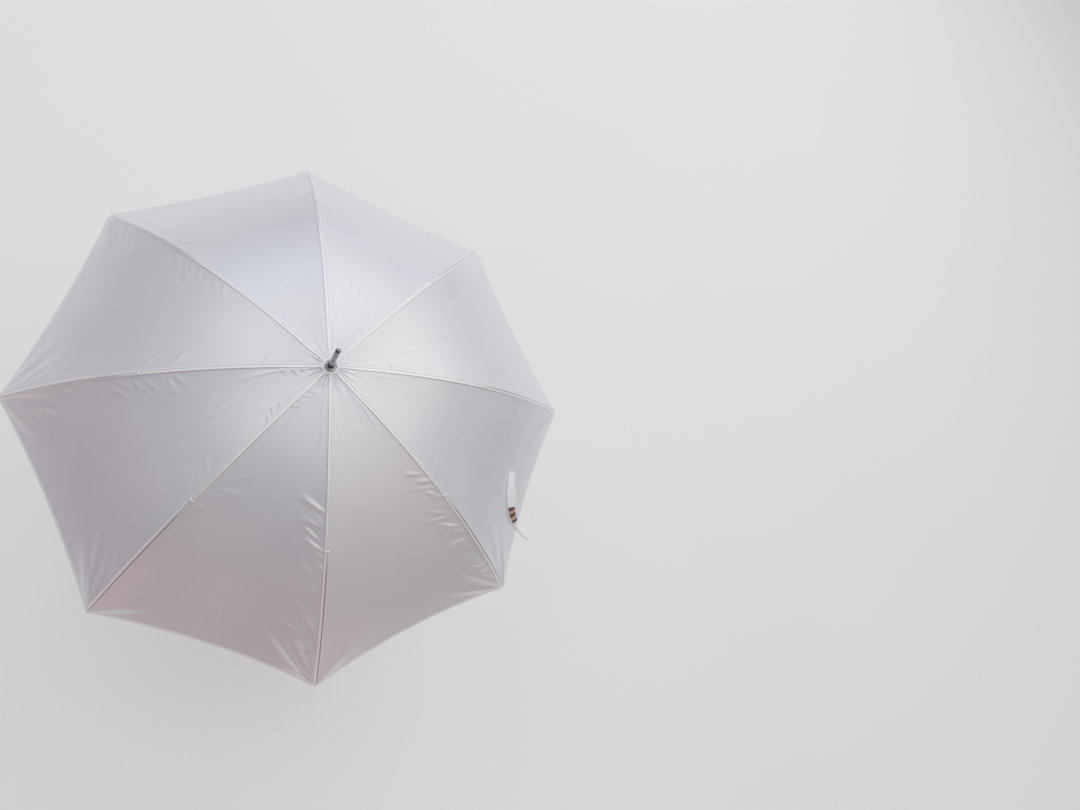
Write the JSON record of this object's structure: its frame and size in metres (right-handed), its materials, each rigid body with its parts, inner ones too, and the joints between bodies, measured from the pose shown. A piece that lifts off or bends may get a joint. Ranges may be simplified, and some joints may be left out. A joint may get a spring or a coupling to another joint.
{
  "type": "umbrella reflector",
  "caption": "Folding white satin umbrella reflector with curved ribs, stretchers, sliding runner, spring latch and a slim steel shaft for a light stand's bracket.",
  "frame": {"origin": "on the shaft's axis, in the middle of the bare length that a stand's bracket grips", "axes": "+Z along the shaft towards the ferrule, +X towards rib 1"},
  "size_m": [0.8452, 0.8452, 0.5746],
  "materials": {
    "cloth": "white satin, sewn in gores",
    "strap": "white woven ribbon",
    "steel": "plated steel",
    "rib_steel": "plated spring steel",
    "collar_steel": "turned steel, worn",
    "chrome": "polished",
    "black_plastic": "moulded",
    "rubber": "matte"
  },
  "bodies": {
    "shaft": {"shaft_tube": "steel", "stop_pin": "steel", "end_plug": "black_plastic", "ferrule_ring": "rubber", "ferrule_nose": "chrome", "crown_hub": "black_plastic", "crown_wire": "steel", "crown_patch": "cloth", "collar": "collar_steel", "collar_seal": "rubber"},
    "latch": {"latch_spring": "steel"},
    "runner": {"runner": "black_plastic", "runner_wire": "steel"},
    "rib_1": {"rib_1": "rib_steel", "rib_tip_1": "chrome", "rib_clip_1": "rib_steel", "canopy_1": "cloth"},
    "stretcher_1": {"stretcher_1": "rib_steel"},
    "rib_2": {"rib_2": "rib_steel", "rib_tip_2": "chrome", "rib_clip_2": "rib_steel", "canopy_2": "cloth"},
    "stretcher_2": {"stretcher_2": "rib_steel"},
    "rib_3": {"rib_3": "rib_steel", "rib_tip_3": "chrome", "rib_clip_3": "rib_steel", "canopy_3": "cloth"},
    "stretcher_3": {"stretcher_3": "rib_steel"},
    "rib_4": {"rib_4": "rib_steel", "rib_tip_4": "chrome", "rib_clip_4": "rib_steel", "canopy_4": "cloth"},
    "stretcher_4": {"stretcher_4": "rib_steel"},
    "rib_5": {"rib_5": "rib_steel", "rib_tip_5": "chrome", "rib_clip_5": "rib_steel", "canopy_5": "cloth"},
    "stretcher_5": {"stretcher_5": "rib_steel"},
    "rib_6": {"rib_6": "rib_steel", "rib_tip_6": "chrome", "rib_clip_6": "rib_steel", "canopy_6": "cloth"},
    "stretcher_6": {"stretcher_6": "rib_steel"},
    "rib_7": {"rib_7": "rib_steel", "rib_tip_7": "chrome", "rib_clip_7": "rib_steel", "canopy_7": "cloth"},
    "stretcher_7": {"stretcher_7": "rib_steel"},
    "rib_8": {"rib_8": "rib_steel", "rib_tip_8": "chrome", "rib_clip_8": "rib_steel", "canopy_8": "cloth", "tie_strap": "strap"},
    "stretcher_8": {"stretcher_8": "rib_steel"}
  },
  "joints": [
    {"name": "fold", "type": "hinge", "parent": "shaft", "child": "rib_1", "pos_m": [0.009, 0, 0.365], "axis": [0, 1, 0], "range_deg": [0, 64], "deforming": ["canopy_1"]},
    {"name": "rib_2_fold", "type": "hinge", "parent": "shaft", "child": "rib_2", "pos_m": [0.00636, 0.00636, 0.365], "axis": [-0.7071, 0.7071, 0], "range_deg": [0, 64], "deforming": ["canopy_2"]},
    {"name": "rib_3_fold", "type": "hinge", "parent": "shaft", "child": "rib_3", "pos_m": [0, 0.009, 0.365], "axis": [-1, 0, 0], "range_deg": [0, 64], "deforming": ["canopy_3"]},
    {"name": "rib_4_fold", "type": "hinge", "parent": "shaft", "child": "rib_4", "pos_m": [-0.00636, 0.00636, 0.365], "axis": [-0.7071, -0.7071, 0], "range_deg": [0, 64], "deforming": ["canopy_4"]},
    {"name": "rib_5_fold", "type": "hinge", "parent": "shaft", "child": "rib_5", "pos_m": [-0.009, 0, 0.365], "axis": [0, -1, 0], "range_deg": [0, 64], "deforming": ["canopy_5"]},
    {"name": "rib_6_fold", "type": "hinge", "parent": "shaft", "child": "rib_6", "pos_m": [-0.00636, -0.00636, 0.365], "axis": [0.7071, -0.7071, 0], "range_deg": [0, 64], "deforming": ["canopy_6"]},
    {"name": "rib_7_fold", "type": "hinge", "parent": "shaft", "child": "rib_7", "pos_m": [0, -0.009, 0.365], "axis": [1, 0, 0], "range_deg": [0, 64], "deforming": ["canopy_7"]},
    {"name": "rib_8_fold", "type": "hinge", "parent": "shaft", "child": "rib_8", "pos_m": [0.00636, -0.00636, 0.365], "axis": [0.7071, 0.7071, 0], "range_deg": [0, 64], "deforming": ["canopy_8", "tie_strap"]},
    {"name": "stretcher_1_swing", "type": "hinge", "parent": "rib_1", "child": "stretcher_1", "pos_m": [0.22602, 0, 0.30859], "axis": [0, 1, 0], "range_deg": [-128, 0]},
    {"name": "stretcher_2_swing", "type": "hinge", "parent": "rib_2", "child": "stretcher_2", "pos_m": [0.15982, 0.15982, 0.30859], "axis": [-0.7071, 0.7071, 0], "range_deg": [-128, 0]},
    {"name": "stretcher_3_swing", "type": "hinge", "parent": "rib_3", "child": "stretcher_3", "pos_m": [0, 0.22602, 0.30859], "axis": [-1, 0, 0], "range_deg": [-128, 0]},
    {"name": "stretcher_4_swing", "type": "hinge", "parent": "rib_4", "child": "stretcher_4", "pos_m": [-0.15982, 0.15982, 0.30859], "axis": [-0.7071, -0.7071, 0], "range_deg": [-128, 0]},
    {"name": "stretcher_5_swing", "type": "hinge", "parent": "rib_5", "child": "stretcher_5", "pos_m": [-0.22602, 0, 0.30859], "axis": [0, -1, 0], "range_deg": [-128, 0]},
    {"name": "stretcher_6_swing", "type": "hinge", "parent": "rib_6", "child": "stretcher_6", "pos_m": [-0.15982, -0.15982, 0.30859], "axis": [0.7071, -0.7071, 0], "range_deg": [-128, 0]},
    {"name": "stretcher_7_swing", "type": "hinge", "parent": "rib_7", "child": "stretcher_7", "pos_m": [0, -0.22602, 0.30859], "axis": [1, 0, 0], "range_deg": [-128, 0]},
    {"name": "stretcher_8_swing", "type": "hinge", "parent": "rib_8", "child": "stretcher_8", "pos_m": [0.15982, -0.15982, 0.30859], "axis": [0.7071, 0.7071, 0], "range_deg": [-128, 0]},
    {"name": "runner_slide", "type": "hinge", "parent": "stretcher_1", "child": "runner", "pos_m": [0.009, 0, 0.25217], "axis": [0, 1, 0], "range_deg": [0, 64]},
    {"name": "latch_press", "type": "slide", "parent": "shaft", "child": "latch", "axis": [-0.9239, -0.3827, 0], "range_m": [0, 0.002], "stiffness_N_per_m": 400}
  ],
  "couplings": [
    {"joint": "rib_2_fold", "follows": "fold", "ratio": 1},
    {"joint": "rib_3_fold", "follows": "fold", "ratio": 1},
    {"joint": "rib_4_fold", "follows": "fold", "ratio": 1},
    {"joint": "rib_5_fold", "follows": "fold", "ratio": 1},
    {"joint": "rib_6_fold", "follows": "fold", "ratio": 1},
    {"joint": "rib_7_fold", "follows": "fold", "ratio": 1},
    {"joint": "rib_8_fold", "follows": "fold", "ratio": 1},
    {"joint": "stretcher_1_swing", "follows": "fold", "ratio": -2},
    {"joint": "stretcher_2_swing", "follows": "fold", "ratio": -2},
    {"joint": "stretcher_3_swing", "follows": "fold", "ratio": -2},
    {"joint": "stretcher_4_swing", "follows": "fold", "ratio": -2},
    {"joint": "stretcher_5_swing", "follows": "fold", "ratio": -2},
    {"joint": "stretcher_6_swing", "follows": "fold", "ratio": -2},
    {"joint": "stretcher_7_swing", "follows": "fold", "ratio": -2},
    {"joint": "stretcher_8_swing", "follows": "fold", "ratio": -2},
    {"joint": "runner_slide", "follows": "fold", "ratio": 1}
  ]
}
